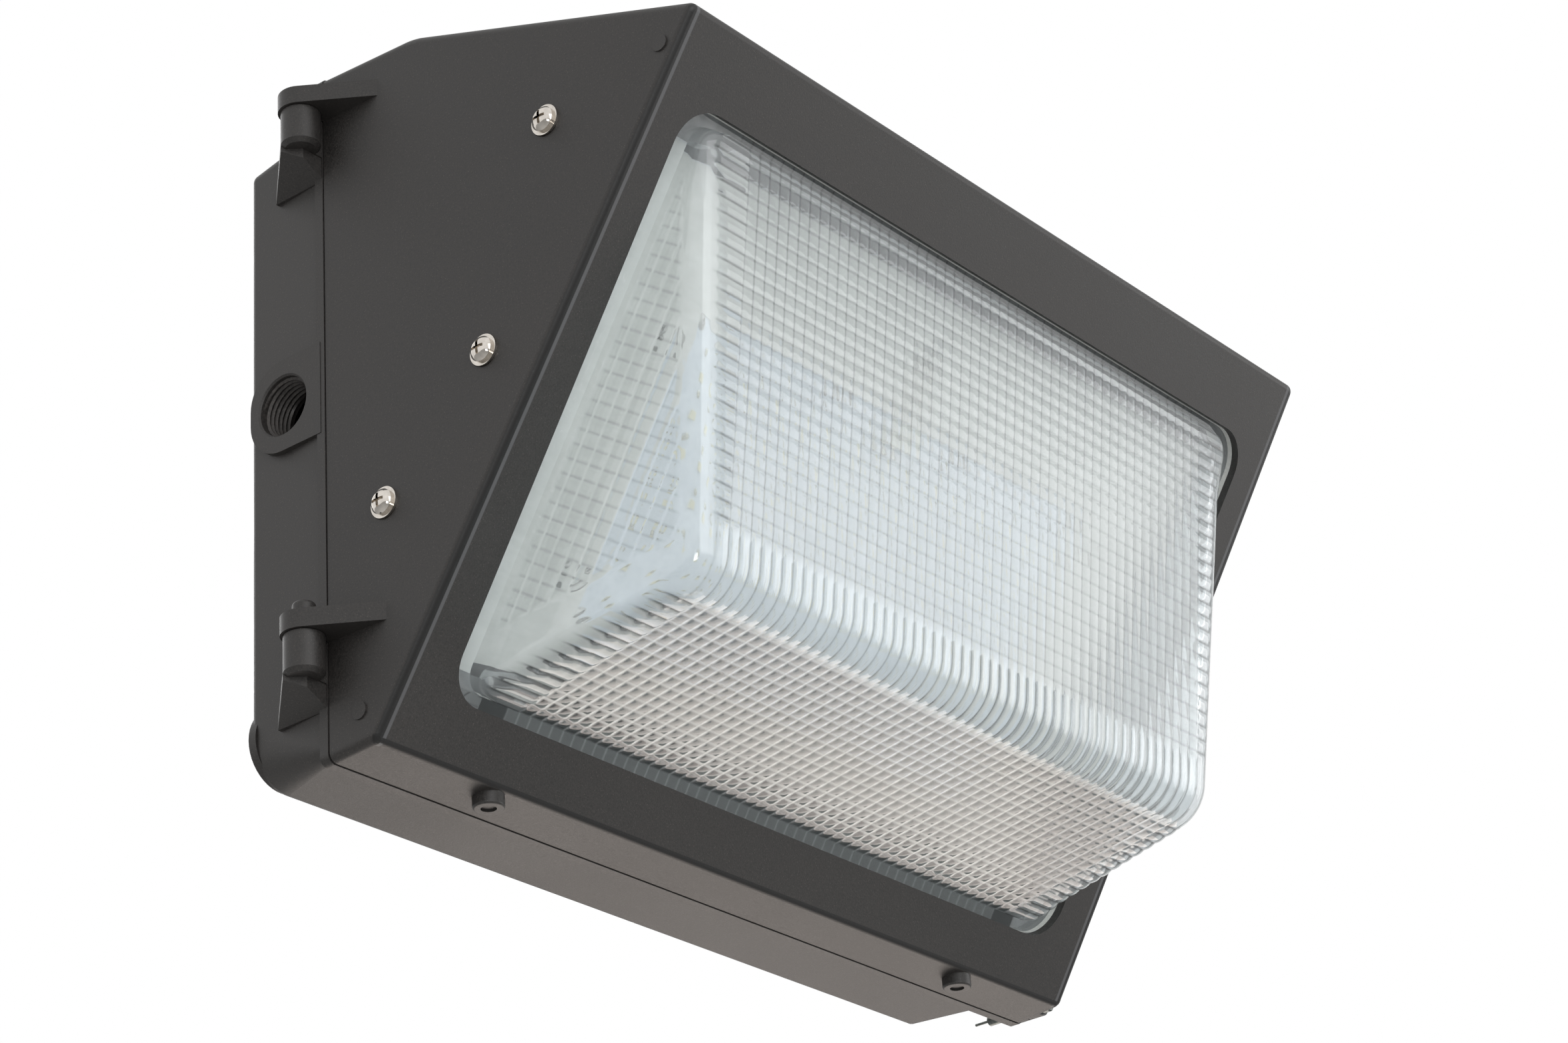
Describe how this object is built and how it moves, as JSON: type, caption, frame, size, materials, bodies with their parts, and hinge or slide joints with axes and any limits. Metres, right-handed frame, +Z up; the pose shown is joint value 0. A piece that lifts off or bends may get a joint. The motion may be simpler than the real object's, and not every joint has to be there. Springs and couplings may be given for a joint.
{
  "type": "wall pack light",
  "caption": "Slanted die-cast outdoor wall light with a ribbed glass refractor, its front hinged at the left to a back box with conduit entries and held shut by captive screws.",
  "frame": {"origin": "centre of the rectangle of wall bolt holes, on the wall face of the back box", "axes": "+Y into the wall, so the light's front faces -Y, +Z up, +X to the right as seen from the front"},
  "size_m": [0.3874, 0.1898, 0.2511],
  "materials": {
    "housing_paint": "satin textured powder coat",
    "gasket_rubber": "matt",
    "plug_paint": "satin powder coat",
    "driver_sheet": "brushed",
    "driver_board": "satin",
    "driver_components": "satin",
    "small_screws": "zinc plated",
    "terminal_plastic": "matt",
    "lead_black": "satin",
    "lead_red": "satin",
    "lead_white": "satin",
    "connector_plastic": "satin",
    "ground_green": "green passivated",
    "refractor_glass": "pressed prismatic",
    "clip_steel": "satin",
    "tray_sheet": "satin white",
    "heat_sink_metal": "extruded",
    "thermal_pad": "matt",
    "board_white": "gloss solder mask",
    "emitter_yellow": "phosphor",
    "reflector_sheet": "semi-matt",
    "bright_screws": "nickel plated",
    "closing_steel": "turned stainless"
  },
  "bodies": {
    "back_box": {"back_box": "housing_paint", "door_gasket": "gasket_rubber", "conduit_plugs": "plug_paint", "driver_case": "driver_sheet", "driver_lid": "driver_sheet", "driver_board": "driver_board", "driver_components": "driver_components", "driver_screws": "small_screws", "terminal_block": "terminal_plastic", "terminal_screws": "small_screws", "input_leads": "lead_black", "output_leads": "lead_red", "output_socket": "connector_plastic", "ground_screw": "ground_green", "ground_washer": "small_screws"},
    "door": {"front_housing": "housing_paint", "refractor": "refractor_glass", "lens_gasket": "gasket_rubber", "lens_clips": "clip_steel", "lens_clip_screws": "small_screws", "lamp_tray": "tray_sheet", "heat_sink": "heat_sink_metal", "heat_sink_screws": "small_screws", "thermal_pad": "thermal_pad", "led_board": "board_white", "led_emitters": "emitter_yellow", "board_screws": "small_screws", "reflector": "reflector_sheet", "board_connector": "connector_plastic", "board_leads": "lead_white", "lead_grommet": "gasket_rubber", "board_plug": "connector_plastic", "side_screws": "bright_screws", "side_washers": "bright_screws"},
    "closing_screw_lower": {"closing_screw_lower": "closing_steel"},
    "closing_screw_upper": {"closing_screw_upper": "closing_steel"}
  },
  "joints": [
    {"name": "door_hinge", "type": "hinge", "parent": "back_box", "child": "door", "pos_m": [-0.1895, -0.035, 0], "axis": [0, 0, -1], "range_deg": [0, 100]},
    {"name": "closing_screw_lower_slide", "type": "slide", "parent": "door", "child": "closing_screw_lower", "axis": [0, -1, 0], "range_m": [0, 0.025]},
    {"name": "closing_screw_upper_slide", "type": "slide", "parent": "door", "child": "closing_screw_upper", "axis": [0, -1, 0], "range_m": [0, 0.025]}
  ]
}
